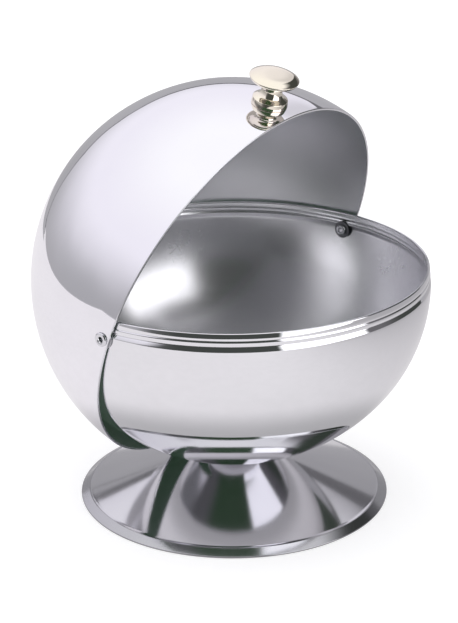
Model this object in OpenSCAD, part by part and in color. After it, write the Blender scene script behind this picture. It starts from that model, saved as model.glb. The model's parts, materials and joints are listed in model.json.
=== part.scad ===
// Sugar bowl with a roll-top cover, on a spun pedestal foot.
// +Z is up. The origin is the centre of the foot on the table. The cover turns on
// two rivets that lie on a line along X, and the knob side is towards -Y.
// The model stands with its cover rolled open by open_angle.

/* [Bowl] */
// Outer radius of the bowl at its widest
bowl_r = 60; // [59.8:0.1:60.1]
// Thickness of the bowl and foot sheet
sheet = 0.8; // [0.7:0.05:0.85]
// Height of the rim above the line through the pivots
rim_h = 5.7; // [5.4:0.1:5.8]
// Depth of the bowl below the line through the pivots, on its outside
bowl_drop = 55.6; // [55.4:0.1:55.8]
// How far the pressed groove under the rim goes in
groove_in = 0.5; // [0.3:0.05:0.55]

/* [Cover] */
// Outer radius of the cover
cover_r = 61.2; // [61.2:0.05:61.4]
// Thickness of the cover sheet
cover_t = 0.7; // [0.6:0.05:0.7]
// How far the cover goes on past the line through its pivots
cover_past = 2.4; // [2.2:0.1:2.6]
// How far the cover is rolled open from its closed place, in degrees
open_angle = 68.6; // [50:0.2:68.6]

/* [Foot] */
// Outer radius of the foot
foot_r = 48.2; // [46:0.2:50]
// Height of the line through the pivots above the table
axis_h = 70; // [69.9:0.1:70.2]
// Width of the sloping border round the foot
border_w = 3; // [2.6:0.1:3.4]
// Height of the border where the cone begins
border_h = 2.05; // [1.9:0.05:2.3]
// Radius of the neck where the cone meets the seat of the bowl
neck_r = 11.6; // [11:0.1:13]

/* [Knob] */
// Angle of the knob above the pivots when the cover is level, in degrees
knob_lift = 5.8; // [5.6:0.2:8]
// Angle of the knob round from the middle of the cover towards the left pivot, in degrees
knob_side = 3.5; // [0:0.5:5]
// Radius of the knob's cap
knob_r = 7.3; // [7:0.1:8]
// Radius of the flange that sits on the cover
knob_flange_r = 5.35; // [5.2:0.05:6]
// Radius of the knob's waist
knob_waist_r = 3.05; // [2.8:0.05:3.4]
// Height of the knob above the cover
knob_h = 9.5; // [9.2:0.1:10]

/* [Pivots] */
// Radius of the rivet shank
rivet_r = 1.5; // [1.4:0.02:1.5]
// Radius of the rivet's outer head
rivet_head_r = 2.1; // [2:0.05:2.4]
// Radius of the hole down the rivet
rivet_bore_r = 0.75; // [0.5:0.05:0.8]
// Running clearance between the rivet and the cover, on the radius
running = 0.05; // [0.03:0.01:0.08]

/* [Hidden] */
$fn = 120;
cover_fn = 240;

touch = 0.02;     // gap between pieces that touch
seat_gap = 0.03;  // gap at the curved seats of the foot and the knob

// ---- Shared helpers ----

// Points along an arc; first = 1 leaves out the starting point
function arc(centre_r, centre_z, radius, from, to, steps, first = 0) =
    [for (i = [first:steps]) let (angle = from + (to - from) * i / steps)
        [centre_r + radius * cos(angle), centre_z + radius * sin(angle)]];

// A list of [radius, height] offsets, placed about one point
function placed(base_radius, base_height, offsets) =
    [for (step = offsets) [base_radius + step[0], base_height + step[1]]];

// A flat ring standing on z = 0, for heights under 2
module ring(outer_r, hole_r, height) {
    difference() {
        cylinder(r = outer_r, h = height);
        translate([0, 0, -1]) cylinder(r = hole_r, h = 3);
    }
}

// Cuts both pivot holes at once, along X
module pivot_holes(hole_r, length) {
    rotate([0, 90, 0]) cylinder(r = hole_r, h = length, center = true);
}

// ---- Bowl ----

// The bowl's wall is two arcs that run into each other: a tight one at the equator,
// whose centre stands side_x off the axis, and a flatter one under it.
side_x = 8;
side_r = bowl_r - side_x;
extra_drop = bowl_drop - side_r;
base_c = (side_x * side_x - extra_drop * extra_drop) / (2 * extra_drop);
base_r = bowl_drop + base_c;
base_z = axis_h + base_c;
join_angle = atan2(base_c, side_x);
wall_end_angle = 0.5;

// Height of the bowl's outside bottom at a radius
function bowl_z(radius) = base_z - sqrt(base_r * base_r - radius * radius);

// One face of the wall, from the middle of the bottom to just over the equator
function wall(inset) = concat(
    arc(0, base_z, base_r - inset, from = -90, to = -join_angle, steps = 36),
    arc(side_x, axis_h, side_r - inset,
        from = -join_angle, to = wall_end_angle, steps = 24, first = 1));

// The groove and the beaded band of the rim: [radius under bowl_r, height over the pivots]
rim_out = [
    [0.06, 0.75], [0.48 * groove_in, 1.0], [groove_in, 1.45], [groove_in, 1.75],
    [0.36, 2.15], [0.28, 2.5], [0.26, 2.9], [0.34, 3.3], [0.5, 3.5], [0.5, 3.65],
    [0.4, 3.85], [0.42, 4.6], [0.52, rim_h - 0.3], [0.68, rim_h - 0.06], [0.86, rim_h]
];
// The inner side of the rim's rounded top, as offsets from bowl_r and the rim's height
rim_lip = [[-1.04, 0], [-1.22, -0.08]];

module bowl() {
    inner = wall(sheet);
    color([0.86, 0.86, 0.88])
    difference() {
        rotate_extrude()
            polygon(concat(
                wall(0),
                [for (point = rim_out) [bowl_r - point[0], axis_h + point[1]]],
                placed(bowl_r, axis_h + rim_h, rim_lip),
                // the inside repeats the rim's outside, but for its last two points
                [for (i = [len(rim_out) - 3:-1:0])
                    [bowl_r - rim_out[i][0] - sheet, axis_h + rim_out[i][1]]],
                [for (i = [len(inner) - 1:-1:0]) inner[i]]));
        translate([0, 0, axis_h]) pivot_holes(rivet_r + touch, 4 * bowl_r);
    }
}

// ---- Cover ----

screw_r = 1.5;
screw_hole_r = screw_r + 0.1;

// Puts a piece of the cover in its place: made closed about the origin, then rolled open
module on_cover() {
    translate([0, 0, axis_h]) rotate([-open_angle, 0, 0]) children();
}

// Turns the Z axis onto the knob's line, in the level cover
module knob_turn() {
    rotate([0, 0, -knob_side]) rotate([90 - knob_lift, 0, 0]) children();
}

// Puts a piece on the knob's line, with z = 0 at the cover's outer surface
module on_knob_line() {
    on_cover() knob_turn() translate([0, 0, cover_r]) children();
}

module roll_top_cover() {
    color([0.88, 0.88, 0.91])
    on_cover()
    difference() {
        sphere(r = cover_r, $fn = cover_fn);
        sphere(r = cover_r - cover_t, $fn = cover_fn);
        // all that lies lower than cover_past under the pivots
        translate([-2 * cover_r, -2 * cover_r, -cover_past - 2 * cover_r])
            cube([4 * cover_r, 4 * cover_r, 2 * cover_r]);
        pivot_holes(rivet_r + running, 4 * cover_r);
        knob_turn() cylinder(r = screw_hole_r, h = 2 * cover_r);
    }
}

// ---- Foot ----

// The foot is a plain cone between a sloping border, which ends in a rolled edge on the
// table, and a dished seat that the bowl's bottom lies in
cone_r = foot_r - border_w;
cone_top = bowl_z(neck_r) - 1.13;
cone_len = sqrt(pow(cone_r - neck_r, 2) + pow(cone_top - border_h, 2));
// The sheet's thickness across the cone, split into radius and height
cone_in_r = sheet * (cone_top - border_h) / cone_len;
cone_in_z = sheet * (cone_r - neck_r) / cone_len;
edge_in_r = foot_r - 1.7;
edge_in_h = 0.78;
seat_r = neck_r - 1.3;
seat_under_r = seat_r - 0.3;
stud_r = 2;
stud_hole_r = 2.15;

// Outside of the foot, as [radius, height] offsets
foot_edge = [[-0.4, 0], [-0.12, 0.1], [0, 0.3], [-0.02, 0.43], [-0.15, 0.56]];  // from foot_r
cone_foot = [[0.35, 0.01], [0.2, 0.05], [0, 0]];        // from the foot of the cone
neck_bend = [[0, 0], [-0.5, 0.24], [-0.95, 0.55]];      // from the top of the cone
neck_inside = [[-1.1, -0.46], [-0.6, -0.62], [-cone_in_r, -cone_in_z]];  // the same

// One face of the seat, between two radii
function seat(radius, from_r, to_r) =
    arc(0, base_z, radius,
        from = -90 + asin(from_r / radius), to = -90 + asin(to_r / radius), steps = 10);

module pedestal_foot() {
    top_radius = base_r + seat_gap;
    color([0.72, 0.72, 0.76])
    rotate_extrude()
        polygon(concat(
            placed(foot_r, 0, foot_edge),
            placed(cone_r, border_h, cone_foot),
            placed(neck_r, cone_top, neck_bend),
            seat(top_radius, seat_r, stud_hole_r),
            seat(top_radius + sheet, stud_hole_r, seat_under_r),
            placed(neck_r, cone_top, neck_inside),
            [[cone_r - cone_in_r, border_h - cone_in_z],
             [edge_in_r, edge_in_h], [edge_in_r, 0]]));
}

// ---- Knob ----

// Turned outline from the cover up: [offset from the part's radius, height over the cover]
flange_outline = [[-0.25, -1], [-0.25, -0.05], [0, 0.15], [-0.03, 0.4],
                  [-0.2, 1.6], [-0.3, 1.78], [-0.5, 1.92]];
waist_outline = [[1.1, 2.4], [0.6, 2.8], [0.3, 3.3], [0.12, 3.8], [0, 4.4],
                 [0, 5], [0.1, 5.5], [0.45, 5.95]];
cap_outline = [[-3.1, 6.4], [-2.1, 6.78], [-1.1, 7.12], [-0.45, 7.5],
               [-0.12, 7.95], [0, 8.25], [-0.03, 8.4]];
// The cap's dome: its lower edge, and how flat its middle is
dome_r = knob_r - 0.14;
dome_z = 8.46;
dome_power = 4.5;
dome_parts = [0.95, 0.89, 0.81, 0.71, 0.58, 0.4, 0.2, 0];  // parts of dome_r

// The knob is one turned piece: a flange with a sloping top, a waist and a domed cap
module knob() {
    color([0.93, 0.84, 0.62])
    on_knob_line()
    difference() {
        rotate_extrude()
            polygon(concat(
                [[0, -1]],
                placed(knob_flange_r, 0, flange_outline),
                placed(knob_waist_r, 0, waist_outline),
                placed(knob_r, 0, cap_outline),
                [[dome_r, dome_z]],
                [for (part = dome_parts)
                    [dome_r * part, dome_z + (knob_h - dome_z) * (1 - pow(part, dome_power))]]));
        // the seat follows the cover's curve
        translate([0, 0, -cover_r]) sphere(r = cover_r + seat_gap, $fn = cover_fn);
        // the blind hole for the screw
        translate([0, 0, -2]) cylinder(r = screw_r + touch, h = 8);
    }
}

knob_washer_z = -cover_t - 0.58;
screw_head_h = 1.3;
screw_head_z = knob_washer_z - touch - screw_head_h;
screw_head = [[0, 0], [1.5, 0.05], [2, 0.25], [2.2, 0.65],
              [2.2, screw_head_h], [0, screw_head_h]];  // [radius, height]
shank_z = -cover_t - 0.8;
shank_top = 4.8;
slot_w = 0.6;
slot_top = -cover_t - 1.2;

// Holds the knob from inside the cover. Its head comes down to the bowl's rim as the cover closes.
module knob_screw() {
    color([0.6, 0.6, 0.63])
    on_knob_line()
    difference() {
        union() {
            translate([0, 0, screw_head_z]) rotate_extrude() polygon(screw_head);
            translate([0, 0, shank_z]) cylinder(r = screw_r, h = shank_top - shank_z);
        }
        translate([-3, -slot_w / 2, slot_top - 1.8]) cube([6, slot_w, 1.8]);
    }
}

module knob_washer() {
    color([0.66, 0.66, 0.69])
    on_knob_line()
    translate([0, 0, knob_washer_z])
        ring(outer_r = 2.5, hole_r = screw_r + 0.08, height = 0.45);
}

// ---- Pivots: side is -1 for the left (-X) and 1 for the right ----

// Lays a pivot piece on the pivot line, with z = 0 at the middle of the bowl
module on_pivot(side) {
    translate([0, 0, axis_h]) rotate([0, 90 * side, 0]) children();
}

// The washer's outer face, where the bowl's inside comes nearest to the middle
washer_out = bowl_r - groove_in - sheet - 0.06;
washer_t = 0.55;
washer_in = washer_out - washer_t;
spacer_t = cover_r - cover_t - bowl_r - 0.14;

// A tubular rivet: a flat-rolled head outside the cover and a clenched end in the bowl
module pivot_rivet(side) {
    head = cover_r + 0.1;
    tail = washer_in - touch;
    clenched_end = [[rivet_bore_r, -0.75], [rivet_bore_r + 0.35, -0.9], [1.45, -0.85],
                    [1.72, -0.55], [1.75, 0], [rivet_r, 0]];
    rolled_head = [[rivet_r, 0], [rivet_head_r, 0], [rivet_head_r, 0.2],
                   [rivet_head_r - 0.25, 0.42], [rivet_head_r - 0.7, 0.5],
                   [rivet_bore_r + 0.25, 0.4], [rivet_bore_r, 0.1]];
    color([0.7, 0.7, 0.73])
    on_pivot(side)
    rotate_extrude()
        polygon(concat(placed(0, tail, clenched_end), placed(0, head, rolled_head)));
}

// Fills the space between the bowl and the cover
module pivot_spacer(side) {
    color([0.55, 0.55, 0.58])
    on_pivot(side)
    translate([0, 0, bowl_r + touch])
        ring(outer_r = 3, hole_r = rivet_r + touch, height = spacer_t);
}

module pivot_washer(side) {
    color([0.35, 0.35, 0.37])
    on_pivot(side)
    translate([0, 0, washer_in])
        ring(outer_r = 2.75, hole_r = rivet_r + touch, height = washer_t);
}

module pivot_rivet_left() { pivot_rivet(-1); }
module pivot_rivet_right() { pivot_rivet(1); }
module pivot_spacer_left() { pivot_spacer(-1); }
module pivot_spacer_right() { pivot_spacer(1); }
module pivot_washer_left() { pivot_washer(-1); }
module pivot_washer_right() { pivot_washer(1); }

// ---- Foot fixing: a stud welded under the bowl, with a washer and a nut inside the foot ----

stud_top = axis_h - bowl_drop - touch;
stud_end = 7.6;
stud_chamfer = 0.4;
washer_h = 0.8;
washer_z = axis_h - bowl_drop - seat_gap - sheet - touch - washer_h;
nut_h = 3.2;
nut_corner_r = 4.04;
// Turned outline that takes off the nut's corners
nut_turned = [[0, 0], [3.5, 0], [4.2, 0.4], [4.2, nut_h - 0.4], [3.5, nut_h], [0, nut_h]];

module foot_stud() {
    color([0.62, 0.62, 0.65])
    rotate_extrude()
        polygon([[0, stud_end], [stud_r - stud_chamfer, stud_end],
                 [stud_r, stud_end + stud_chamfer], [stud_r, stud_top], [0, stud_top]]);
}

module foot_washer() {
    color([0.66, 0.66, 0.69])
    translate([0, 0, washer_z])
        ring(outer_r = 5.5, hole_r = stud_r + 0.1, height = washer_h);
}

module foot_nut() {
    color([0.6, 0.6, 0.63])
    translate([0, 0, washer_z - touch - nut_h])
        difference() {
            intersection() {
                cylinder(r = nut_corner_r, h = nut_h, $fn = 6);
                rotate_extrude() polygon(nut_turned);
            }
            translate([0, 0, -1]) cylinder(r = stud_r + touch, h = nut_h + 2);
        }
}

bowl();
roll_top_cover();
pedestal_foot();
knob();
knob_screw();
knob_washer();
pivot_rivet_left();
pivot_rivet_right();
pivot_spacer_left();
pivot_spacer_right();
pivot_washer_left();
pivot_washer_right();
foot_stud();
foot_washer();
foot_nut();
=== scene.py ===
"""A roll-top sugar bowl: a round steel bowl on a conical foot, with a domed cover that turns about
two pivots on the X line and here stands open, tipped back towards +Y. The foot stands on z = 0 and
its axis is Z. Shapes are written in millimetres and meshes built in metres."""
import json
import math

import bmesh
import bpy
import numpy as np
from mathutils import Matrix, Vector
from mathutils.bvhtree import BVHTree
from mathutils.interpolate import poly_3d_calc


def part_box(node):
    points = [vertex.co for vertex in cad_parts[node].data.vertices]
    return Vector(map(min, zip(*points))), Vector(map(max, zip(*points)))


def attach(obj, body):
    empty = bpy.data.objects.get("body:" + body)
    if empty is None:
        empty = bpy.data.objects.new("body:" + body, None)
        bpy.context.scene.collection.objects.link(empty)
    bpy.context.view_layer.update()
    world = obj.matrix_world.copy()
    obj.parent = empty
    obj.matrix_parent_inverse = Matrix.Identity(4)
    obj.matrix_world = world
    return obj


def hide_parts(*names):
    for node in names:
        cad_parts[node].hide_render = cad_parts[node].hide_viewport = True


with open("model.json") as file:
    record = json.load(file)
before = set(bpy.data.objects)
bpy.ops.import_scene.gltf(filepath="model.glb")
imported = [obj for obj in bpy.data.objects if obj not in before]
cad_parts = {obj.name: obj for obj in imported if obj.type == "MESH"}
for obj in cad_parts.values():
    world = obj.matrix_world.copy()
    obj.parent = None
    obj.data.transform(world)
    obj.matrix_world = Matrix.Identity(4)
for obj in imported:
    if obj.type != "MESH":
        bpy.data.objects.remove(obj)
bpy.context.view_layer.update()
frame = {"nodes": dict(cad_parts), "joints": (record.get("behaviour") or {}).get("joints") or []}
MM = 0.001
SC = bpy.context.scene

# ---------------------------------------------------------------- driving sizes
PIVOT = Vector(frame["joints"][0]["pos_m"])
AXIS_H = PIVOT.z / MM                   # height of the pivot line
OPEN = math.radians(68.6)               # how far the cover is tipped back from level
bowl_lo, bowl_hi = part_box("bowl")
BOWL_R = bowl_hi.x / MM
RIM_H = bowl_hi.z / MM - AXIS_H         # rim above the pivots
DROP = AXIS_H - bowl_lo.z / MM          # bowl's bottom below the pivots
BOWL_BOTTOM = AXIS_H - DROP
COVER_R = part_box("roll_top_cover")[1].x / MM
FOOT_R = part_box("pedestal_foot")[1].x / MM
SHEET = 0.8                             # thickness of bowl and foot
COVER_T = 0.7                           # thickness of the cover
COVER_PAST = 2.4                        # how far the cover runs on past its half sphere

# The bowl's section is a side arc about (SIDE_X, pivot height) that meets a flatter base arc.
SIDE_X = 8.0
SIDE_R = BOWL_R - SIDE_X
SIDE_DROP = DROP - SIDE_R
BASE_C = (SIDE_X * SIDE_X - SIDE_DROP * SIDE_DROP) / (2 * SIDE_DROP)  # base centre above pivots
BASE_R = DROP + BASE_C
JOIN_A = math.degrees(math.atan2(BASE_C, SIDE_X))                     # where the arcs meet
BOWL_GAP = 0.03                         # between the bowl and the foot's crown
CROWN_UNDER = BOWL_BOTTOM - BOWL_GAP - SHEET

# The camera's line of sight over the floor
VIEW_AZ = math.radians(37.66)
VIEW_X, VIEW_Y = math.cos(VIEW_AZ), math.sin(VIEW_AZ)


def knob_direction():
    """From the middle of the pivots to the knob's centre of area."""
    total, centre = 0.0, Vector((0, 0, 0))
    for face in frame["nodes"]["knob"].data.polygons:
        centre += face.center * face.area
        total += face.area
    return (centre / total - PIVOT).normalized()


def basis(z, x):
    """A matrix at the pivot centre whose local Z is z, with local X as near x as it can be."""
    z = Vector(z).normalized()
    x = Vector(x)
    x = (x - z * x.dot(z)).normalized()
    matrix = Matrix((x, z.cross(x), z)).transposed().to_4x4()
    matrix.translation = PIVOT
    return matrix


KNOB = knob_direction()
POLE = Vector((0, math.sin(OPEN), math.cos(OPEN)))      # the open cover's own axis
KNOB_M = basis(KNOB, (1, 0, 0))
COVER_M = basis(POLE, (1, 0, 0))
PIVOT_M = {side: basis((side, 0, 0), (0, 1, 0)) for side in (-1, 1)}
PIVOT_ENDS = [PIVOT + Vector((side * BOWL_R * MM, 0, 0)) for side in (-1, 1)]


# ---------------------------------------------------------------- profiles of (r, z)
def arc(cx, cz, radius, start, end, steps):
    """Points on an arc, from start to end in degrees."""
    points = []
    for i in range(steps + 1):
        angle = math.radians(start + (end - start) * i / steps)
        points.append((cx + radius * math.cos(angle), cz + radius * math.sin(angle)))
    return points


def fillet(points, steps=5):
    """Takes (r, z) or (r, z, radius): a corner with a radius is rounded by steps + 1 points."""
    out = []
    for i, point in enumerate(points):
        radius = point[2] if len(point) > 2 else 0
        if radius <= 0:
            out.append(point[:2])
            continue
        corner = Vector(point[:2])
        to_last = Vector(points[i - 1][:2]) - corner
        to_next = Vector(points[(i + 1) % len(points)][:2]) - corner
        len_last, len_next = to_last.length, to_next.length
        to_last.normalize()
        to_next.normalize()
        half = math.acos(max(-1, min(1, to_last.dot(to_next)))) / 2
        # the rounding takes less than half of either side
        reach = min(radius / math.tan(half), 0.49 * len_last, 0.49 * len_next)
        radius = reach * math.tan(half)
        centre = corner + (to_last + to_next).normalized() * (radius / math.sin(half))
        first = corner + to_last * reach - centre
        last = corner + to_next * reach - centre
        start = math.atan2(first.y, first.x)
        turn = math.atan2(last.y, last.x) - start
        turn = (turn + math.pi) % (2 * math.pi) - math.pi
        for k in range(steps + 1):
            angle = start + turn * k / steps
            out.append((centre.x + radius * math.cos(angle), centre.y + radius * math.sin(angle)))
    return out


def spline(points, steps):
    """A smooth curve through the points, centripetal Catmull-Rom."""
    p = [Vector(q) for q in points]
    p = [p[0] * 2 - p[1]] + p + [p[-1] * 2 - p[-2]]
    out = []
    for i in range(1, len(p) - 2):
        a, b, c, d = p[i - 1 : i + 3]
        t0 = 0.0
        t1 = t0 + max((b - a).length, 1e-6) ** 0.5
        t2 = t1 + max((c - b).length, 1e-6) ** 0.5
        t3 = t2 + max((d - c).length, 1e-6) ** 0.5
        for k in range(steps):
            t = t1 + (t2 - t1) * k / steps
            a1 = a * ((t1 - t) / (t1 - t0)) + b * ((t - t0) / (t1 - t0))
            a2 = b * ((t2 - t) / (t2 - t1)) + c * ((t - t1) / (t2 - t1))
            a3 = c * ((t3 - t) / (t3 - t2)) + d * ((t - t2) / (t3 - t2))
            b1 = a1 * ((t2 - t) / (t2 - t0)) + a2 * ((t - t0) / (t2 - t0))
            b2 = a2 * ((t3 - t) / (t3 - t1)) + a3 * ((t - t1) / (t3 - t1))
            q = b1 * ((t2 - t) / (t2 - t1)) + b2 * ((t - t1) / (t2 - t1))
            out.append((q.x, q.y))
    out.append(tuple(p[-2]))
    return out


# ---------------------------------------------------------------- meshes
def mesh_object(name, verts, faces, mats=(), face_slots=None, sharp=40):
    """A smooth-shaded object from points in metres, sharp at edges over that many degrees."""
    mesh = bpy.data.meshes.new(name)
    mesh.from_pydata([tuple(v) for v in verts], [], faces)
    mesh.validate(clean_customdata=False)
    ob = bpy.data.objects.new(name, mesh)
    SC.collection.objects.link(ob)
    for mat in mats:
        mesh.materials.append(mat)
    # validate can drop a bad face, and then the slots no longer line up
    if face_slots is not None and len(face_slots) == len(mesh.polygons):
        mesh.polygons.foreach_set("material_index", face_slots)
    mesh.polygons.foreach_set("use_smooth", [True] * len(mesh.polygons))
    mesh.set_sharp_from_angle(angle=math.radians(sharp))
    mesh.update()
    return ob


def lathe(name, profile, segs, matrix=Matrix.Identity(4), mats=(), zone=None, sharp=40,
          wobble=None):
    """Turns a profile round Z. One that starts and ends on the axis closes there; any other is a
    closed ring. zone(r, z) gives a face's material slot, wobble(angle, r, z) a change of r."""
    pts = []
    for r, z in profile:
        r = max(0.0, r)
        if not pts or math.hypot(r - pts[-1][0], z - pts[-1][1]) > 1e-5:
            pts.append((r, z))
    on_axis = pts[0][0] < 1e-6 and pts[-1][0] < 1e-6
    if not on_axis and math.hypot(pts[0][0] - pts[-1][0], pts[0][1] - pts[-1][1]) < 1e-5:
        pts.pop()
    n = len(pts)

    verts, rings = [], []
    for i, (r, z) in enumerate(pts):
        if on_axis and i in (0, n - 1):
            rings.append([len(verts)] * segs)
            verts.append(matrix @ Vector((0, 0, z * MM)))
            continue
        rings.append(range(len(verts), len(verts) + segs))
        for k in range(segs):
            angle = 2 * math.pi * k / segs
            rr = r + (wobble(angle, r, z) if wobble else 0.0)
            point = Vector((rr * math.cos(angle) * MM, rr * math.sin(angle) * MM, z * MM))
            verts.append(matrix @ point)

    # the sign of the outline's area tells which way it runs, so faces can point outwards
    pairs = list(zip(pts, pts[1:] + pts[:1]))
    flip = sum(a[0] * b[1] - b[0] * a[1] for a, b in pairs) < 0
    faces, slots = [], []
    for i in range(n - 1 if on_axis else n):
        j = (i + 1) % n
        a, b = pairs[i]
        slot = zone((a[0] + b[0]) / 2, (a[1] + b[1]) / 2) if zone else 0
        for k in range(segs):
            m = (k + 1) % segs
            face = [rings[i][k], rings[i][m], rings[j][m], rings[j][k]]
            face = [v for t, v in enumerate(face) if v not in face[:t]]
            if len(face) < 3:
                continue
            faces.append(face[::-1] if flip else face)
            slots.append(slot)
    return mesh_object(name, verts, faces, mats, slots, sharp)


def add_boolean(ob, cutter, operation, name):
    modifier = ob.modifiers.new(name, "BOOLEAN")
    modifier.operation = operation
    modifier.object = cutter
    modifier.solver = "EXACT"


def baked_mesh(ob):
    """The mesh with the object's modifiers applied; the modifiers are taken off."""
    bpy.context.view_layer.update()
    graph = bpy.context.evaluated_depsgraph_get()
    mesh = bpy.data.meshes.new_from_object(ob.evaluated_get(graph), depsgraph=graph)
    ob.modifiers.clear()
    return mesh


def corner_normals(mesh):
    flat = np.zeros(len(mesh.loops) * 3, np.float32)
    mesh.corner_normals.foreach_get("vector", flat)
    return flat.reshape(-1, 3)


def restore_normals(new, old, tree, old_normals, near):
    """Gives faces that lie on the old surface its smooth normals, and cut faces flat ones."""
    same_face = math.cos(math.radians(30))
    normals = [tuple(v) for v in corner_normals(new)]
    for face in new.polygons:
        if near and min((face.center - hole).length for hole in near) > 9 * MM:
            continue
        _, surface, _, gap = tree.find_nearest(face.center)
        is_cut = gap > 0.02 * MM or abs(surface.dot(face.normal)) < same_face
        for loop in face.loop_indices:
            normals[loop] = tuple(face.normal)
            if is_cut:
                continue
            # look from just inside the face, so a vertex on an edge takes this side of it
            corner = new.vertices[new.loops[loop].vertex_index].co
            place, _, index, gap = tree.find_nearest(corner.lerp(face.center, 0.02))
            if gap > 0.05 * MM:
                continue
            source = old.polygons[index]
            weights = poly_3d_calc([old.vertices[v].co for v in source.vertices], place)
            normal = Vector((0, 0, 0))
            for old_loop, weight in zip(source.loop_indices, weights):
                normal += Vector(old_normals[old_loop].tolist()) * weight
            if normal.length > 1e-6 and normal.normalized().dot(face.normal) > 0.5:
                normals[loop] = tuple(normal.normalized())
    new.normals_split_custom_set(normals)
    new.update()


def cut(ob, cutters, near=None):
    """Cuts the cutters away and keeps the old shading. near lists the places of the holes: only
    faces close to one need their normals set."""
    old = ob.data
    tree = BVHTree.FromPolygons([v.co.copy() for v in old.vertices],
                                [tuple(p.vertices) for p in old.polygons])
    old_normals = corner_normals(old)
    for cutter in cutters:
        add_boolean(ob, cutter, "DIFFERENCE", "hole")
    new = baked_mesh(ob)
    ob.data = new
    new.name = ob.name
    new.polygons.foreach_set("use_smooth", [True] * len(new.polygons))
    restore_normals(new, old, tree, old_normals, near)
    bpy.data.meshes.remove(old)
    for cutter in cutters:
        mesh = cutter.data
        bpy.data.objects.remove(cutter)
        bpy.data.meshes.remove(mesh)


def rod_cutter(matrix, radius, z0, z1):
    return lathe("cutter", [(0, z0), (radius, z0), (radius, z1), (0, z1)], 96, matrix)


def box_cutter(matrix, lo, hi):
    corners = [matrix @ Vector((x * MM, y * MM, z * MM))
               for x in (lo[0], hi[0]) for y in (lo[1], hi[1]) for z in (lo[2], hi[2])]
    faces = [(0, 1, 3, 2), (4, 6, 7, 5), (0, 4, 5, 1), (2, 3, 7, 6), (0, 2, 6, 4), (1, 5, 7, 3)]
    return mesh_object("cutter", corners, faces, sharp=10)


def washer(name, r_in, r_out, z0, z1, mat, matrix=Matrix.Identity(4), rounding=0.1):
    edge = min(rounding, (z1 - z0) * 0.35)
    section = fillet([(r_in, (z0 + z1) / 2), (r_in, z0, edge), (r_out, z0, edge),
                      (r_out, z1, edge), (r_in, z1, edge)], 4)
    return lathe(name, section, 96, matrix, [mat], sharp=50)


THREAD_STEP = 0.07                      # between the rings that carry a thread


def thread_rings(radius, start, end):
    count = int((end - start) / THREAD_STEP)
    return [(radius, start + i * THREAD_STEP) for i in range(1, count)]


def thread(radius, pitch, depth, z0, z1):
    """A lathe wobble that cuts a V thread into that radius, running out at both ends."""
    def wobble(angle, r, z):
        if abs(r - radius) > 1e-6 or z < z0 or z > z1:
            return 0.0
        phase = (z / pitch - angle / (2 * math.pi)) % 1.0
        ease = max(0.0, min(1.0, (z - z0) / pitch, (z1 - z) / pitch))
        return -depth * (1 - abs(phase * 2 - 1)) * ease
    return wobble


def put(ob, body, node):
    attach(ob, body)
    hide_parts(node)


# ---------------------------------------------------------------- shader building
class Expr:
    """A shader value; arithmetic on it adds math nodes."""

    def __init__(self, graph, socket):
        self.graph, self.socket = graph, socket

    def _op(self, operation, *others, clamp=False):
        inputs = dict(enumerate((self, *others)))
        return self.graph.value("Math", 0, inputs, operation=operation, use_clamp=clamp)

    def __add__(self, other): return self._op("ADD", other)
    def __sub__(self, other): return self._op("SUBTRACT", other)
    def __mul__(self, other): return self._op("MULTIPLY", other)
    def __neg__(self): return self * -1.0
    def abs(self): return self._op("ABSOLUTE")
    def sqrt(self): return self._op("SQRT")
    def clamp(self): return self._op("ADD", 0.0, clamp=True)
    def min(self, other): return self._op("MINIMUM", other)
    def max(self, other): return self._op("MAXIMUM", other)
    def asin(self): return self._op("ARCSINE")
    def atan2(self, other): return self._op("ARCTAN2", other)

    def step(self, zero, one):
        """A smooth step: 0 on the far side of zero, 1 on the far side of one."""
        rising = zero < one
        return self.graph.value("MapRange", "Result", {
            "Value": self, "From Min": min(zero, one), "From Max": max(zero, one),
            "To Min": 0 if rising else 1, "To Max": 1 if rising else 0,
        }, interpolation_type="SMOOTHSTEP")

    def band(self, low, high, soft):
        """1 between low and high, with edges that fade over soft on both sides."""
        return self.step(low - soft, low + soft) * self.step(high + soft, high - soft)


class Graph:
    """An emptied node tree. An input takes an Expr, a socket, a number, a vector or an RGB."""

    def __init__(self, tree):
        tree.nodes.clear()
        self.tree = tree

    def feed(self, target, value):
        if isinstance(value, Expr):
            value = value.socket
        if isinstance(value, bpy.types.NodeSocket):
            self.tree.links.new(value, target)
        elif target.type == "RGBA":
            target.default_value = (*value, 1)
        else:
            target.default_value = value

    def node(self, kind, inputs=None, **props):
        node = self.tree.nodes.new("ShaderNode" + kind)
        for key, value in props.items():
            setattr(node, key, value)
        for key, value in (inputs or {}).items():
            self.feed(node.inputs[key], value)
        return node

    def value(self, kind, output, inputs=None, **props):
        return Expr(self, self.node(kind, inputs, **props).outputs[output])

    def xyz(self, socket):
        outputs = self.node("SeparateXYZ", {0: socket}).outputs
        return [Expr(self, outputs[i]) for i in range(3)]

    def noise(self, vector, scale, detail=2.0, roughness=0.5):
        return self.value("TexNoise", "Fac", {
            "Vector": vector, "Scale": scale, "Detail": detail, "Roughness": roughness})

    def mix(self, factor, a, b, blend="MIX"):
        """a where factor is 0, b where it is 1."""
        node = self.node("Mix", data_type="RGBA", blend_type=blend, clamp_factor=True)
        sockets = {s.identifier: s for s in node.inputs}
        self.feed(sockets["Factor_Float"], factor)
        self.feed(sockets["A_Color"], a)
        self.feed(sockets["B_Color"], b)
        return next(s for s in node.outputs if s.identifier == "Result_Color")


def new_material(name):
    mat = bpy.data.materials.new(name)
    mat.use_nodes = True
    return mat, Graph(mat.node_tree)


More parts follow.
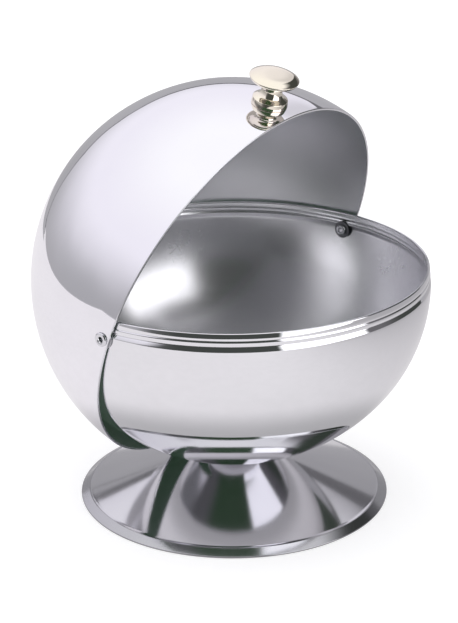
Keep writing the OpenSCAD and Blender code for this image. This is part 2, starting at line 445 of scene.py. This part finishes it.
# ---------------------------------------------------------------- metals
def hairlines(g, position, rotation, scale, patch_scale, patch_from):
    """Long thin scratches in patches: a stretched noise cut to a narrow band."""
    mapping = g.node("Mapping", {"Vector": position, "Rotation": rotation, "Scale": scale})
    hair = g.noise(mapping.outputs[0], scale=1.0, detail=1.0, roughness=0.4)
    patches = g.noise(position, scale=patch_scale).step(zero=patch_from, one=0.62)
    return hair.band(low=0.498, high=0.502, soft=0.003) * patches


def metal(name, colour, tint, rough, vary, turned, lines, waves=0.0, scratch=0.0, dirt=0.0,
          painted_bounce_glow=0.0):
    """Polished or satin metal. colour and tint are the ends of its slow colour change, rough its
    least roughness and vary how much is added to that; turned is the (origin, axis) it was turned
    about. lines and waves are heights in mm of turning lines and slow unevenness, scratch and dirt
    are strengths. The last argument is a painted glow: a faint green emission that only deep
    reflections see, standing in for the light that reflections between bowl and cover would still
    pick up past the bounces that are traced."""
    mat, g = new_material(name)
    shader = g.node("BsdfPrincipled", {"Metallic": 1.0})
    g.node("OutputMaterial", {0: shader.outputs[0]})
    position = g.node("TexCoord").outputs["Object"]

    # place along the turning axis and away from it; the fine lines vary with these only
    origin, axis = turned
    offset = g.node("VectorMath", {0: position, 1: origin}, operation="SUBTRACT").outputs[0]
    along = g.value("VectorMath", "Value", {0: offset, 1: axis}, operation="DOT_PRODUCT")
    distance = g.value("VectorMath", "Value", {0: offset}, operation="LENGTH")
    radial = (distance * distance - along * along).max(0.0).sqrt()
    section = g.node("CombineXYZ", {0: along, 1: radial}).outputs[0]
    fine_lines = g.noise(section, scale=2600.0, detail=3.0, roughness=0.6)
    broad_lines = g.noise(section, scale=420.0)
    slow = g.noise(position, scale=16.0, roughness=0.45)
    cloud = g.noise(position, scale=55.0, detail=4.0, roughness=0.6)
    speck = g.noise(position, scale=700.0, roughness=0.6)

    base = g.mix((slow * 0.7 + cloud * 0.3).step(zero=0.35, one=0.68), colour, tint)
    if dirt:
        grime = (0.28, 0.27, 0.26)
        base = g.mix(cloud.step(zero=0.55, one=0.8) * dirt, base, grime, blend="MULTIPLY")
    g.feed(shader.inputs["Base Color"], base)

    # roughness: wiped smudges, turning lines and tiny specks over the base
    smudge = cloud.step(zero=0.48, one=0.74) * 0.3
    marks = smudge + broad_lines * 0.25 + speck.step(zero=0.66, one=0.8) * 0.3
    roughness = marks * (rough * vary) + rough
    if scratch:
        hair = (hairlines(g, position, rotation=(0.5, 0.9, 0.3), scale=(60.0, 900.0, 140.0),
                          patch_scale=30.0, patch_from=0.5)
                + hairlines(g, position, rotation=(1.1, -0.4, 1.7), scale=(900.0, 50.0, 180.0),
                            patch_scale=24.0, patch_from=0.52))
        roughness = roughness + hair * scratch
    g.feed(shader.inputs["Roughness"], roughness.min(1.0))

    # painted light: a faint green glow, seen only after several reflections, stands in for light
    # bouncing between bowl and cover
    if painted_bounce_glow:
        deep = g.value("LightPath", "Ray Depth").step(zero=3.3, one=3.7)
        g.feed(shader.inputs["Emission Color"], (0.52, 1.0, 0.56))
        g.feed(shader.inputs["Emission Strength"], deep * painted_bounce_glow)

    # bump heights are in metres
    height = fine_lines * (lines * MM) + broad_lines * (lines * 1.6 * MM)
    if waves:
        height = g.noise(position, scale=22.0, detail=1.0, roughness=0.4) * (waves * MM) + height
    bump = g.node("Bump", {"Strength": 1.0, "Distance": 1.0, "Height": height})
    g.feed(shader.inputs["Normal"], bump.outputs[0])
    return mat


UPRIGHT = (Vector((0, 0, 0)), Vector((0, 0, 1)))
COVER_SPUN = (PIVOT, POLE)
KNOB_SPUN = (PIVOT, KNOB)
PIVOT_SPUN = (PIVOT, Vector((1, 0, 0)))

# the outside of the bowl and the inside of the cover carry a faint painted glow for deep
# reflections
bowl_out = metal("bowl_polished_steel", (0.86, 0.86, 0.885), (0.83, 0.825, 0.85),
                 rough=0.035, vary=0.6, turned=UPRIGHT, waves=0.012, scratch=0.05,
                 lines=0.00001, painted_bounce_glow=0.024)
bowl_in = metal("bowl_inside_satin_steel", (0.80, 0.795, 0.815), (0.74, 0.735, 0.76),
                rough=0.23, vary=0.5, turned=UPRIGHT, waves=0.01, scratch=0.03, lines=0.00008)
cover_out = metal("cover_polished_steel", (0.91, 0.90, 0.935), (0.885, 0.875, 0.915),
                  rough=0.03, vary=0.6, turned=COVER_SPUN, waves=0.012, scratch=0.05,
                  lines=0.00001)
cover_in = metal("cover_inside_satin_steel", (0.86, 0.855, 0.88), (0.80, 0.795, 0.82),
                 rough=0.32, vary=0.4, turned=COVER_SPUN, waves=0.01, scratch=0.06,
                 lines=0.0001, painted_bounce_glow=0.024)
edge_steel = metal("cut_edge_steel", (0.88, 0.88, 0.90), (0.80, 0.80, 0.83),
                   rough=0.16, vary=0.7, turned=COVER_SPUN, scratch=0.1, lines=0.00006)
foot_out = metal("foot_polished_steel", (0.70, 0.695, 0.72), (0.66, 0.655, 0.685),
                 rough=0.10, vary=0.6, turned=UPRIGHT, waves=0.01, scratch=0.06, lines=0.00003)
# painted shade: the border's base colour is darker than the cone's, standing in for the dark
# reflection the border shows
foot_border_painted_dark = metal("foot_border_steel", (0.53, 0.53, 0.55), (0.47, 0.47, 0.49),
                    rough=0.14, vary=0.7, turned=UPRIGHT, waves=0.01, scratch=0.10,
                    lines=0.00005)
foot_in = metal("foot_inside_steel", (0.62, 0.615, 0.63), (0.54, 0.535, 0.55),
                rough=0.30, vary=0.5, turned=UPRIGHT, waves=0.01, scratch=0.08, lines=0.00014)
gold = metal("knob_pale_gold", (0.925, 0.865, 0.765), (0.91, 0.84, 0.70),
             rough=0.06, vary=0.6, turned=KNOB_SPUN, scratch=0.05, lines=0.00004)
rivet_mat = metal("rivet_steel", (0.80, 0.80, 0.82), (0.70, 0.70, 0.73),
                  rough=0.14, vary=0.8, turned=PIVOT_SPUN, scratch=0.1, lines=0.0001)
spacer_mat = metal("spacer_steel", (0.52, 0.52, 0.54), (0.42, 0.42, 0.44),
                   rough=0.34, vary=0.6, turned=PIVOT_SPUN, lines=0.0003, dirt=0.4)
washer_mat = metal("washer_dark_steel", (0.20, 0.20, 0.21), (0.13, 0.13, 0.14),
                   rough=0.36, vary=0.6, turned=PIVOT_SPUN, lines=0.0004, dirt=0.5)
screw_mat = metal("screw_zinc_steel", (0.66, 0.66, 0.68), (0.56, 0.56, 0.58),
                  rough=0.24, vary=0.7, turned=KNOB_SPUN, scratch=0.1, lines=0.0003)
nut_mat = metal("nut_zinc_steel", (0.64, 0.64, 0.65), (0.55, 0.56, 0.56),
                rough=0.28, vary=0.7, turned=UPRIGHT, scratch=0.15, lines=0.0003, dirt=0.3)

# ---------------------------------------------------------------- bowl
RIM_INSET = 0.5                         # the rim's edge in from the widest radius
# groove and beaded band under the rim: (inset from BOWL_R, height above the pivots)
RIM = [
    (0.004, 0.3), (0.04, 0.6), (0.16, 0.95), (0.32, 1.35), (0.45, 1.65), (0.5, 1.85),
    (0.45, 2.07), (0.33, 2.37), (0.27, 2.8), (0.30, 3.2), (0.42, 3.46), (0.455, 3.58),
    (0.42, 3.7), (0.39, 3.95), (0.42, 4.6), (RIM_INSET, RIM_H - 0.42),
]


def bowl_line(inset):
    """The bowl's section from the bottom to the rim, moved inwards by inset."""
    base = arc(0, AXIS_H + BASE_C, BASE_R - inset, -90, -JOIN_A, 54)
    side = arc(SIDE_X, AXIS_H, SIDE_R - inset, -JOIN_A, 0.5, 44)
    rim = spline([(BOWL_R - d - inset, AXIS_H + z) for d, z in RIM], 4)
    return base, side[1:], rim


def bowl_zone(r, z):
    """0 outside and on the lip, 1 inside; the two part at the middle of the sheet."""
    z -= AXIS_H
    if z > RIM_H - 0.45:
        return 0
    if z > 0.4:
        return 1 if r < BOWL_R - 0.36 - SHEET / 2 else 0
    if z > -SIDE_R * math.sin(math.radians(JOIN_A)) and r > SIDE_X:
        return 1 if math.hypot(r - SIDE_X, z) < SIDE_R - SHEET / 2 else 0
    return 1 if math.hypot(r, z - BASE_C) < BASE_R - SHEET / 2 else 0


def make_bowl():
    base, side, rim = bowl_line(0)
    outer = base + side[:-1] + rim
    base, side, rim = bowl_line(SHEET)
    inner = base + side + rim
    lip = arc(BOWL_R - RIM_INSET - SHEET / 2, AXIS_H + RIM_H - 0.4, 0.4, 0, 180, 14)
    # the inner line leaves out its last side point too, as the rim takes over there
    inner.pop(len(base) + len(side) - 1)
    bowl = lathe("bowl_shell", outer + lip[1:-1] + inner[::-1], 256, mats=[bowl_out, bowl_in],
                 zone=bowl_zone, sharp=60)
    cut(bowl, [rod_cutter(PIVOT_M[s], 1.52, BOWL_R - 4, BOWL_R + 3) for s in (-1, 1)],
        PIVOT_ENDS)
    put(bowl, "base", "bowl")


# ---------------------------------------------------------------- cover
def cover_zone(r, z):
    """0 outside, 1 inside, 2 along the cut edge."""
    if z < -COVER_PAST + 0.32:
        return 2
    return 0 if math.hypot(r, z) > COVER_R - COVER_T / 2 else 1


def make_cover():
    rounding = 0.3
    inner_r = COVER_R - COVER_T
    back_off = math.degrees(rounding / COVER_R)
    end_out = -math.degrees(math.asin(COVER_PAST / COVER_R)) + back_off
    end_in = -math.degrees(math.asin(COVER_PAST / inner_r)) + back_off
    outside = arc(0, 0, COVER_R, 90, end_out, 96)
    inside = arc(0, 0, inner_r, end_in, 90, 96)
    edge = fillet([outside[-1], (COVER_R - 0.06, -COVER_PAST, rounding),
                   (inner_r - 0.04, -COVER_PAST, rounding), inside[0]], 6)
    cover = lathe("cover_shell", outside + edge[1:-1] + inside, 256, COVER_M,
                  [cover_out, cover_in, edge_steel], cover_zone, sharp=60)
    holes = [(PIVOT_M[-1], 1.55), (PIVOT_M[1], 1.55), (KNOB_M, 1.6)]   # (line, radius)
    cut(cover, [rod_cutter(line, radius, COVER_R - 4, COVER_R + 3) for line, radius in holes],
        PIVOT_ENDS + [PIVOT + KNOB * COVER_R * MM])
    put(cover, "cover", "roll_top_cover")


# ---------------------------------------------------------------- foot
NECK_R = 11.6                           # where the cone rounds over into the seat for the bowl
SEAT_R = NECK_R - 1.3
STUD_HOLE = 2.15
LIP_R, LIP_Z = FOOT_R - 3.0, 2.05       # inner edge of the sloping border
CONE_TOP = 14.35                        # height of the cone at the neck
CONE_SAG = 0.15                         # the cone is very slightly hollow
CONE_STEPS = 40


def cone_z(t):
    """Height of the cone, t running from 0 at the border to 1 at the neck and beyond."""
    sag = CONE_SAG * math.sin(math.pi * max(0, min(1, t)))
    return LIP_Z + (CONE_TOP - LIP_Z) * t - sag


def crown(radius, r0, r1):
    """Part of a sphere about the centre of the bowl's base arc, from r0 to r1."""
    start, end = (-90 + math.degrees(math.asin(r / radius)) for r in (r0, r1))
    return arc(0, AXIS_H + BASE_C, radius, start, end, 14)


def foot_zone(r, z):
    """0 on the cone, 1 on the seat and the hollow side, 2 on the border."""
    if r > LIP_R:
        on_top = r > FOOT_R - 1.2 or z > LIP_Z - 0.5 * (r - LIP_R) - 0.35
        return 2 if z > 0.02 and on_top else 1
    if r < SEAT_R:
        return 1
    return 0 if z > cone_z((r - LIP_R) / (NECK_R - LIP_R)) - 0.4 else 1


def make_foot():
    cone = []
    for i in range(CONE_STEPS + 1):
        t = i / CONE_STEPS
        cone.append((LIP_R + (NECK_R - LIP_R) * t, cone_z(t)))
    cone_in = [(r - 0.30, z - 0.745) for r, z in cone]

    crown_r = BASE_R + BOWL_GAP
    crown_top = crown(crown_r, SEAT_R, STUD_HOLE)
    crown_under = crown(crown_r + SHEET, STUD_HOLE, SEAT_R - 0.3)
    # the cone points in each spline only set its direction, so their 6 steps are dropped
    neck = spline([cone[-3], cone[-1], (NECK_R - 0.55, CONE_TOP + 0.28),
                   (NECK_R - 1.0, CONE_TOP + 0.42), crown_top[0]], 6)[6:]
    neck_in = spline([crown_under[-1], (NECK_R - 1.1, CONE_TOP - 0.42),
                      (NECK_R - 0.55, CONE_TOP - 0.6), cone_in[-1], cone_in[-3]], 6)[:-6]
    # a fine bead at the end of the cone, then a straight slope to the rolled edge on the table
    border = fillet([cone[0], (LIP_R + 0.2, LIP_Z + 0.06, 0.08), (LIP_R + 0.36, LIP_Z + 0.02, 0.1),
                     (FOOT_R - 0.08, 0.52, 0.28), (FOOT_R - 0.25, 0.0, 0.25),
                     (FOOT_R - 1.1, 0.0)], 8)
    border_in = fillet([(FOOT_R - 1.1, 0.0), (FOOT_R - 1.4, 0.0, 0.2), (FOOT_R - 1.45, 0.75, 0.3),
                        (LIP_R + 0.1, LIP_Z - 0.68, 0.5), cone_in[0]], 6)
    hollow_side = border_in[1:-1] + cone_in[:-1] + neck_in[::-1] + crown_under[::-1]
    top_side = crown_top[::-1] + neck[::-1] + cone[::-1][1:-1] + border
    foot = lathe("foot_shell", hollow_side + top_side, 256, mats=[foot_out, foot_in, foot_border_painted_dark],
                 zone=foot_zone, sharp=50)
    put(foot, "base", "pedestal_foot")


# ---------------------------------------------------------------- knob and its screw
# z runs outwards along the knob's line, from the cover's outer surface
FLANGE_R, WAIST_R, CAP_R, KNOB_H = 5.35, 3.05, 7.3, 9.5
CAP_EDGE_R, CAP_EDGE_Z = CAP_R - 0.14, 8.46
KNOB_GAP = 0.03                         # between the knob's underside and the cover
# flange: (r, z, corner radius)
FLANGE = [(FLANGE_R, -0.02, 0.14), (FLANGE_R - 0.2, 1.78, 0.2), (WAIST_R + 1.15, 2.36)]
# waist and underside of the cap: (r, z)
WAIST = [
    (WAIST_R + 1.05, 2.42), (WAIST_R + 0.62, 2.78), (WAIST_R + 0.32, 3.25),
    (WAIST_R + 0.13, 3.8), (WAIST_R + 0.01, 4.4), (WAIST_R, 4.95), (WAIST_R + 0.1, 5.45),
    (WAIST_R + 0.42, 5.95), (WAIST_R + 1.15, 6.42), (CAP_R - 2.1, 6.76), (CAP_R - 1.1, 7.1),
    (CAP_R - 0.45, 7.48), (CAP_R - 0.1, 7.95),
]
# rings of the cap's top, as parts of its edge radius
CAP_RINGS = [0.94, 0.91, 0.88, 0.85, 0.81, 0.77, 0.73, 0.69, 0.64, 0.59, 0.54, 0.48, 0.42, 0.35,
             0.28, 0.2, 0.1, 0.0]


def seat_z(r):
    """Height of the knob's underside, which follows the cover."""
    seat_r = COVER_R + KNOB_GAP
    return math.sqrt(seat_r * seat_r - r * r) - COVER_R


def cap_point(q):
    """A point of the cap's top: flat in the middle, steeper at the edge."""
    return CAP_EDGE_R * q, CAP_EDGE_Z + (KNOB_H - CAP_EDGE_Z) * (1 - q ** 4.5)


def from_cover(profile):
    """Moves a profile from the cover's surface to the centre of the pivots."""
    return [(r, z + COVER_R) for r, z in profile]


def make_knob():
    bore = [(0, 6.0), (1.52, 6.0), (1.52, seat_z(1.52))]
    underside = [(r, seat_z(r)) for r in (1.9, 2.6, 3.4, 4.2, 4.8)]
    side = fillet([(FLANGE_R - 0.3, seat_z(FLANGE_R - 0.3))] + FLANGE, 6) + spline(WAIST, 5)[1:]
    cap = fillet([side[-1], (CAP_R + 0.02, 8.34, 0.14), cap_point(0.97)])[1:]
    cap += [cap_point(q) for q in CAP_RINGS]
    knob = lathe("knob_turned", from_cover(bore + underside + side + cap), 160, KNOB_M, [gold],
                 sharp=45)
    put(knob, "cover", "knob")


def make_knob_screw():
    """A slotted pan head under the cover, its shank running up into the knob."""
    shank_r, head_r = 1.5, 2.2
    head_z = -COVER_T - 1.9
    neck_z = head_z + 1.3
    tip_z = 4.8
    thread_end = tip_z - 0.3
    profile = fillet([(0, head_z), (1.3, head_z + 0.03), (2.0, head_z + 0.25, 0.5),
                      (head_r, head_z + 0.75, 0.3), (head_r, neck_z, 0.12), (shank_r, neck_z)])
    profile += thread_rings(shank_r, neck_z, thread_end)
    profile += [(shank_r, thread_end), (1.15, tip_z), (0, tip_z)]
    wobble = thread(shank_r, pitch=0.5, depth=0.28, z0=COVER_R + 0.3, z1=COVER_R + thread_end)
    screw = lathe("knob_screw_slotted", from_cover(profile), 96, KNOB_M, [screw_mat], sharp=35,
                  wobble=wobble)
    under = COVER_R - COVER_T
    cut(screw, [box_cutter(KNOB_M, (-3, -0.3, under - 3), (3, 0.3, under - 1.2))])
    put(screw, "cover", "knob_screw")

    ring = washer("knob_washer_ring", 1.58, 2.5, under - 0.58, under - 0.13, screw_mat, KNOB_M)
    put(ring, "cover", "knob_washer")


# ---------------------------------------------------------------- pivots
def make_pivot(side, direction):
    """Tubular rivet, spacer between bowl and cover, and washer inside the bowl; z points out."""
    matrix = PIVOT_M[direction]
    bore, shank_r, tail_r, head_r = 0.75, 1.5, 1.75, 2.1
    head = COVER_R + 0.1
    washer_out = BOWL_R - RIM_INSET - SHEET - 0.06
    washer_in = washer_out - 0.55
    tail = washer_in - 0.02
    section = fillet([
        (bore, tail - 0.2), (bore, tail - 0.72, 0.12), (1.1, tail - 0.9, 0.18),
        (1.5, tail - 0.8, 0.2), (tail_r, tail - 0.5, 0.2), (tail_r, tail, 0.12),
        (shank_r, tail), (shank_r, head), (head_r, head, 0.1), (head_r, head + 0.24, 0.15),
        (1.75, head + 0.46, 0.25), (1.35, head + 0.5, 0.2), (0.95, head + 0.4, 0.15),
        (bore, head + 0.1, 0.1),
    ], 4)
    rivet = lathe(f"pivot_rivet_{side}_tube", section, 96, matrix, [rivet_mat], sharp=50)
    put(rivet, "base", f"pivot_rivet_{side}")
    spacer = washer(f"pivot_spacer_{side}_shim", 1.52, 3.0, BOWL_R + 0.02,
                    COVER_R - COVER_T - 0.12, spacer_mat, matrix, 0.05)
    put(spacer, "base", f"pivot_spacer_{side}")
    ring = washer(f"pivot_washer_{side}_ring", 1.52, 2.75, washer_in, washer_out, washer_mat,
                  matrix, 0.12)
    put(ring, "base", f"pivot_washer_{side}")


# ---------------------------------------------------------------- stud, washer and nut in the foot
def make_foot_stud():
    radius, start = 2.0, 8.0
    top = BOWL_BOTTOM - 0.02
    profile = [(0, 7.6), (1.55, 7.6), (radius, start)] + thread_rings(radius, start, top)
    profile += [(radius, top - 0.08), (1.92, top), (0, top)]
    wobble = thread(radius, pitch=0.7, depth=0.34, z0=7.9, z1=CROWN_UNDER - 0.2)
    stud = lathe("foot_stud_threaded", profile, 96, mats=[nut_mat], sharp=35, wobble=wobble)
    put(stud, "base", "foot_stud")

    ring = washer("foot_washer_ring", 2.1, 5.5, CROWN_UNDER - 0.82, CROWN_UNDER - 0.02, nut_mat,
                  rounding=0.15)
    put(ring, "base", "foot_washer")


def make_foot_nut():
    """A hexagon, chamfered by a turned blank and bored with flared ends."""
    top = CROWN_UNDER - 0.84
    low = top - 3.2
    nut = lathe("foot_nut_hex", [(0, low), (4.04, low), (4.04, top), (0, top)], 6,
                mats=[nut_mat], sharp=20)
    blank = lathe("cutter", fillet([
        (0, low - 0.001), (3.45, low - 0.001), (4.25, low + 0.42), (4.25, top - 0.42),
        (3.45, top + 0.001), (0, top + 0.001)]), 96)
    add_boolean(nut, blank, "INTERSECT", "chamfer")
    bore = lathe("cutter", [
        (0, low - 1), (2.4, low - 1), (2.4, low - 0.02), (2.02, low + 0.36),
        (2.02, top - 0.36), (2.4, top + 0.02), (2.4, top + 1), (0, top + 1)], 96)
    add_boolean(nut, bore, "DIFFERENCE", "bore")
    bevel = nut.modifiers.new("soft", "BEVEL")
    bevel.width = 0.09 * MM
    bevel.segments = 2
    bevel.limit_method = "ANGLE"
    bevel.angle_limit = math.radians(35)
    mesh = baked_mesh(nut)
    nut.data = mesh
    for cutter in (blank, bore):
        bpy.data.objects.remove(cutter)
    mesh.polygons.foreach_set("use_smooth", [True] * len(mesh.polygons))
    mesh.set_sharp_from_angle(angle=math.radians(30))
    put(nut, "base", "foot_nut")


# ---------------------------------------------------------------- floor
def floor_material():
    """White to the camera; to every other ray a pale table that ends a little way out."""
    mat, g = new_material("pale_floor")
    camera_ray = g.value("LightPath", "Is Camera Ray")
    geometry = g.node("NewGeometry").outputs
    position = geometry["Position"]
    x, y, _ = g.xyz(position)
    ahead = x * VIEW_X + y * VIEW_Y         # away from the camera
    left = y * VIEW_X - x * VIEW_Y          # to the camera's left
    grain = g.noise(position, scale=90.0, detail=3.0)
    blotch = g.noise(position, scale=7.0)

    # painted shade: darker to the right of the object, and a painted shadow close round it
    shade = (-left + ahead * 0.35).step(zero=-0.03, one=0.32)
    table = g.mix(shade, (0.90, 0.878, 0.895), (0.46, 0.447, 0.46))
    # painted contact shadow of the object on the table, seen only in reflections
    near = (x * x + y * y).sqrt().step(zero=0.082, one=0.052)
    table = g.mix(near * 0.5, table, (0.25, 0.25, 0.26))
    uneven = grain.step(zero=0.3, one=0.7) * 0.05 + blotch.step(zero=0.4, one=0.7) * 0.04
    table = g.mix(uneven, table, (0.5, 0.5, 0.5))

    glow = g.node("Emission", {
        "Color": g.mix(camera_ray, table, (1.0, 1.0, 1.0)), "Strength": 0.62})
    dim_table = g.mix(0.62, table, (0.0, 0.0, 0.0))
    diffuse = g.node("BsdfDiffuse", {"Color": g.mix(camera_ray, dim_table, (0.52, 0.52, 0.525))})
    surface = g.node("AddShader", {0: glow.outputs[0], 1: diffuse.outputs[0]})
    # to other rays it ends near in front, farther at the sides and behind; no ray sees its back
    edge = ((-ahead + left.abs() * 0.25).step(zero=0.30, one=0.32)
            + left.abs().step(zero=0.54, one=0.56) + ahead.step(zero=0.60, one=0.62))
    gone = (edge.clamp() * (-camera_ray + 1.0) + Expr(g, geometry["Backfacing"])).clamp()
    clear = g.node("BsdfTransparent")
    shown = g.node("MixShader", {0: gone, 1: surface.outputs[0], 2: clear.outputs[0]})
    g.node("OutputMaterial", {0: shown.outputs[0]})
    return mat


def make_floor():
    mat = floor_material()
    grid = bmesh.new()
    bmesh.ops.create_grid(grid, x_segments=4, y_segments=4, size=4.0)
    mesh = bpy.data.meshes.new("floor")
    grid.to_mesh(mesh)
    grid.free()
    floor = bpy.data.objects.new("floor", mesh)
    floor.location = (0, 0, -0.00005)
    SC.collection.objects.link(floor)
    mesh.materials.append(mat)


# ---------------------------------------------------------------- cards behind, seen in the metal
# outlines as (to the camera's left, height) in metres
GREY_CARD = [
    (-0.62, 0), (0.46, 0), (0.40, 0.012), (0.355, 0.026), (0.318, 0.06), (0.307, 0.115),
    (0.283, 0.158), (0.24, 0.186), (0.212, 0.215), (0.17, 0.232), (0.0, 0.241), (-0.2, 0.268),
    (-0.62, 0.30),
]
CARD_FRAME = [
    (0.42, 0.016), (0.355, 0.030), (0.322, 0.062), (0.311, 0.117), (0.288, 0.163),
    (0.243, 0.192), (0.215, 0.222), (0.17, 0.2405), (0.0, 0.2535), (-0.15, 0.272),
    (-0.19, 0.30), (-0.26, 0.37), (-0.62, 0.45), (-0.62, 0.29), (-0.2, 0.262), (0.0, 0.2375),
    (0.17, 0.2295), (0.208, 0.212), (0.236, 0.182), (0.279, 0.155), (0.303, 0.113),
    (0.314, 0.058), (0.35, 0.024), (0.42, 0.010),
]
CARD_CORNER = [
    (0.12, 0.2385), (0.17, 0.232), (0.212, 0.215), (0.24, 0.186), (0.283, 0.158),
    (0.305, 0.175), (0.295, 0.25), (0.262, 0.30), (0.215, 0.31), (0.12, 0.262),
]
FRAME_GREY = (0.17, 0.167, 0.178)


def card_material(name, colour, mottle):
    """Glows in its colour, mottled towards a darker one."""
    mat, g = new_material(name)
    noise = g.noise(g.node("NewGeometry").outputs["Position"], scale=6.0, detail=3.0)
    darker = tuple(c * 0.8 for c in colour)
    mixed = g.mix(noise.step(zero=0.35, one=0.65) * mottle, colour, darker)
    g.node("OutputMaterial", {0: g.node("Emission", {"Color": mixed}).outputs[0]})
    return mat


def corner_material(name):
    """Turns from grey to the frame's grey with height, and shows only in the foot."""
    mat, g = new_material(name)
    geometry = g.node("NewGeometry").outputs
    height = g.xyz(geometry["Position"])[2]
    slope = g.xyz(geometry["Incoming"])[2]
    colour = g.mix(height.step(zero=0.238, one=0.252), (0.44, 0.435, 0.455), FRAME_GREY)
    glow = g.node("Emission", {"Color": colour})
    # height of the point that mirrors the card: the card is clear to all above the foot
    mirror = height + slope * g.value("LightPath", "Ray Length")
    clear = g.node("BsdfTransparent")
    shown = g.node("MixShader", {
        0: mirror.step(zero=0.0140, one=0.0185), 1: glow.outputs[0], 2: clear.outputs[0]})
    g.node("OutputMaterial", {0: shown.outputs[0]})
    return mat


def make_card(name, outline, distance, mat):
    """A flat card square to the camera's heading, that far beyond the object in metres."""
    verts = [(VIEW_X * distance - VIEW_Y * left, VIEW_Y * distance + VIEW_X * left, height)
             for left, height in outline]
    ob = mesh_object(name, verts, [tuple(range(len(verts)))], sharp=10)
    ob.data.materials.append(mat)
    ob.visible_camera = ob.visible_shadow = ob.visible_diffuse = False


def make_cards():
    make_card("grey_card", GREY_CARD, 0.464,
              card_material("grey_card", (0.455, 0.45, 0.47), mottle=0.35))
    make_card("card_frame", CARD_FRAME, 0.462,
              card_material("card_frame", FRAME_GREY, mottle=0.5))
    make_card("card_corner", CARD_CORNER, 0.460, corner_material("card_corner"))


# ---------------------------------------------------------------- studio
def make_world():
    """A white tent, open and dark in front and to the right. Angles are in degrees."""
    world = bpy.data.worlds.new("studio")
    SC.world = world
    world.use_nodes = True
    g = Graph(world.node_tree)
    generated = g.node("TexCoord").outputs["Generated"]
    direction = g.node("VectorMath", {0: generated}, operation="NORMALIZE").outputs[0]
    x, y, z = g.xyz(direction)
    el = z.asin() * (180 / math.pi)
    # azimuth: 0 straight behind the object, + to the camera's left, +-180 at the camera
    ahead, left = x * VIEW_X + y * VIEW_Y, y * VIEW_X - x * VIEW_Y
    az = left.atan2(ahead) * (180 / math.pi)
    wander = (g.noise(direction, scale=2.6) - 0.5) * 14.0
    path = g.node("LightPath").outputs
    third = Expr(g, path["Ray Depth"]).step(zero=2.3, one=2.7)     # reflected twice or more

    def wavy(amount):
        """Elevation with an uneven edge."""
        return el + wander * amount

    white, lavender = (1.08, 1.08, 1.10), (0.95, 0.93, 1.0)
    sky = g.mix(el.step(zero=25, one=70), lavender, white)
    # the tent's wall darkens towards the table
    wall = g.mix(wavy(0.3).step(zero=-9, one=26), (0.43, 0.425, 0.445), lavender)
    env = g.mix(el.step(zero=24, one=34), wall, sky)
    # a grey leaf on the left and a dim part beside it, both only in repeated reflections
    leaf = az.band(low=39, high=62, soft=4) * wavy(0.3).step(zero=31, one=24)
    env = g.mix(leaf * third * 0.9, env, (0.36, 0.355, 0.37))
    side_deep = az.band(low=70, high=116, soft=7) * wavy(0.3).step(zero=26, one=14)
    env = g.mix(side_deep * third * 0.95, env, (0.22, 0.22, 0.23))
    # a milder shade low on the left, in the other rays
    side_dark = az.band(low=66, high=106, soft=12) * wavy(0.3).step(zero=12, one=-4)
    env = g.mix(side_dark * (-third + 1.0) * 0.55, env, (0.42, 0.42, 0.44))
    # a duller part of the tent behind, on the right
    dull = (-az).band(low=15, high=42, soft=6) * el.band(low=20, high=47, soft=7)
    env = g.mix(dull * 0.7, env, (0.58, 0.57, 0.60))
    # in front, towards the camera, the room is dark
    front_left = ((az - el.max(0.0) * 0.3).step(zero=122, one=136) * (-third + 1.0)
                  + az.step(zero=102, one=116) * third)
    front = (((-az).step(zero=112, one=124) + front_left).clamp()
             * wavy(0.4).step(zero=58, one=42))
    darkest = g.mix(third, (0.062, 0.068, 0.063), (0.046, 0.088, 0.048))
    dark = g.mix(az.abs().step(zero=128, one=152), (0.14, 0.14, 0.145), darkest)
    env = g.mix(front, env, dark)
    # to the right too, up to the tent's roof; the near edge of this part leans over
    lean = az + (el - 27.0) * 0.5 + 23.7
    right = ((-az).band(low=0, high=112, soft=1) * lean.step(zero=1.2, one=-1.2)
             * wavy(0.4).step(zero=60, one=46))
    right_deep = g.mix(third, (0.058, 0.063, 0.059), (0.052, 0.068, 0.053))
    right_dark = g.mix((-az).step(zero=70, one=92), right_deep, (0.16, 0.155, 0.165))
    env = g.mix(right, env, right_dark)
    # a tall strip light at the front right
    strip = (-az).band(low=101, high=153, soft=2.5) * wavy(0.15).step(zero=39, one=31)
    env = g.mix(strip, env, (2.0, 2.0, 2.04))
    # plain white to the camera
    env = g.mix(Expr(g, path["Is Camera Ray"]), env, (1.0, 1.0, 1.0))
    background = g.node("Background", {"Color": env, "Strength": 1.0})
    g.node("OutputWorld", {0: background.outputs[0]})


def make_lamp():
    """A broad soft light from above, that keeps the floor white under a faint shadow."""
    lamp = bpy.data.lights.new("soft_top", "AREA")
    lamp.shape = "RECTANGLE"
    lamp.size = lamp.size_y = 1.4
    lamp.energy = 8.0
    ob = bpy.data.objects.new("soft_top", lamp)
    ob.location = (-0.1, 0.05, 1.6)
    ob.visible_glossy = False
    SC.collection.objects.link(ob)


def make_camera():
    cam = bpy.data.cameras.new("camera")
    cam.lens = 120.31
    cam.sensor_width = 36.0
    cam.sensor_fit = "AUTO"
    cam.clip_start = 0.01
    cam.clip_end = 20.0
    ob = bpy.data.objects.new("camera", cam)
    right = (0.60913952, -0.79303961, -0.00610079)
    up = (0.28875397, 0.21461625, 0.93303859)
    back = (-0.73862723, -0.57011231, 0.35972458)
    place = Vector((-7.85236342, -6.03405576, 3.64355432))     # from the pivots, in bowl radii
    matrix = Matrix((right, up, back)).transposed().to_4x4()
    matrix.translation = PIVOT + place * (BOWL_R * MM)
    ob.matrix_world = matrix
    SC.collection.objects.link(ob)
    SC.camera = ob


make_bowl()
make_cover()
make_foot()
make_knob()
make_knob_screw()
make_pivot("left", -1)
make_pivot("right", 1)
make_foot_stud()
make_foot_nut()
make_floor()
make_cards()
make_world()
make_lamp()
make_camera()

SC.view_settings.view_transform = "Standard"
SC.view_settings.look = "None"
SC.cycles.max_bounces = 14
SC.cycles.glossy_bounces = 10
